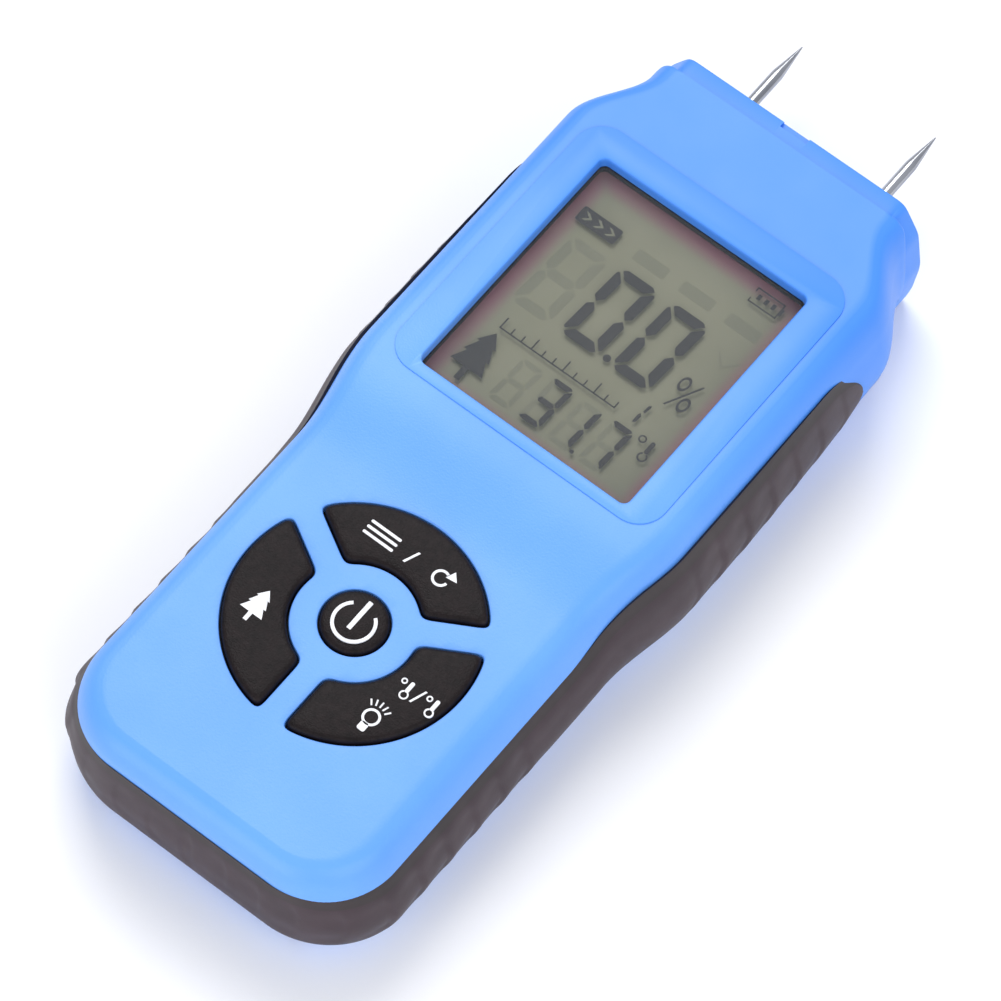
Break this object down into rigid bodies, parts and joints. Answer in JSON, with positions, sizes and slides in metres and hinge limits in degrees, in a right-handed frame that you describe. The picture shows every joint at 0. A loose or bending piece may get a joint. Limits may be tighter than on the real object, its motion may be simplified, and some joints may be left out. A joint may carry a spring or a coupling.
{
  "type": "moisture meter",
  "caption": "Handheld pin-type moisture meter with a raised display window, ring keypad, rubber side grip, battery door and two steel measuring pins.",
  "frame": {"origin": "middle of the overall length and width, on the flat rear face that the meter lies on", "axes": "+Y from the handle towards the pin tips, +Z out of the display face, +X to the right seen from the front"},
  "size_m": [0.0668, 0.1674, 0.0282],
  "materials": {
    "blue_abs": "moulded ABS, satin with fine spark texture",
    "grip_rubber": "over-moulded thermoplastic rubber, matte",
    "key_plastic": "moulded, fine grained, printed white icons",
    "clear_lens": "clear acrylic, polished",
    "black_foam": "die cut foam",
    "lcd_glass": "reflective liquid crystal cell behind a polariser",
    "white_plastic": "moulded",
    "light_guide": "moulded acrylic with white backing",
    "connector_silicone": "striped silicone",
    "keypad_silicone": "moulded silicone",
    "nickel_steel": "nickel plated",
    "circuit_board": "solder mask",
    "black_plastic": "moulded",
    "ceramic_parts": "fired ceramic",
    "cell_jacket": "printed shrink sleeve",
    "wire_jacket": "extruded vinyl",
    "bush_brass": "turned",
    "pin_steel": "hardened steel, ground point"
  },
  "bodies": {
    "meter": {"front_cover": "blue_abs", "rear_case": "blue_abs", "side_grip": "grip_rubber", "window_lens": "clear_lens", "window_gasket": "black_foam", "lcd_glass": "lcd_glass", "lcd_frame": "white_plastic", "light_guide": "light_guide", "backlight_leds": "white_plastic", "zebra_strip": "connector_silicone", "keypad_mat": "keypad_silicone", "snap_domes": "nickel_steel", "main_board": "circuit_board", "controller_chip": "black_plastic", "buzzer": "black_plastic", "board_parts": "ceramic_parts", "temperature_sensor": "black_plastic", "board_screws": "nickel_steel", "case_screws": "nickel_steel", "cells": "cell_jacket", "contact_plates": "nickel_steel", "contact_springs": "nickel_steel", "battery_leads": "wire_jacket", "pin_block": "black_plastic", "pin_bushes": "bush_brass", "left_pin": "pin_steel", "right_pin": "pin_steel", "pin_leads": "wire_jacket"},
    "mode_key": {"mode_key": "key_plastic"},
    "species_key": {"species_key": "key_plastic"},
    "unit_key": {"unit_key": "key_plastic"},
    "power_key": {"power_key": "key_plastic"},
    "battery_door": {"battery_door": "blue_abs"}
  },
  "joints": [
    {"name": "mode_key_press", "type": "slide", "parent": "meter", "child": "mode_key", "axis": [0, 0, -1], "range_m": [0, 0.0008], "stiffness_N_per_m": 1500},
    {"name": "species_key_press", "type": "slide", "parent": "meter", "child": "species_key", "axis": [0, 0, -1], "range_m": [0, 0.0008], "stiffness_N_per_m": 1500},
    {"name": "unit_key_press", "type": "slide", "parent": "meter", "child": "unit_key", "axis": [0, 0, -1], "range_m": [0, 0.0008], "stiffness_N_per_m": 1500},
    {"name": "power_key_press", "type": "slide", "parent": "meter", "child": "power_key", "axis": [0, 0, -1], "range_m": [0, 0.0008], "stiffness_N_per_m": 1500},
    {"name": "battery_door_slide", "type": "slide", "parent": "meter", "child": "battery_door", "axis": [0, -1, 0], "range_m": [0, 0.058]}
  ]
}
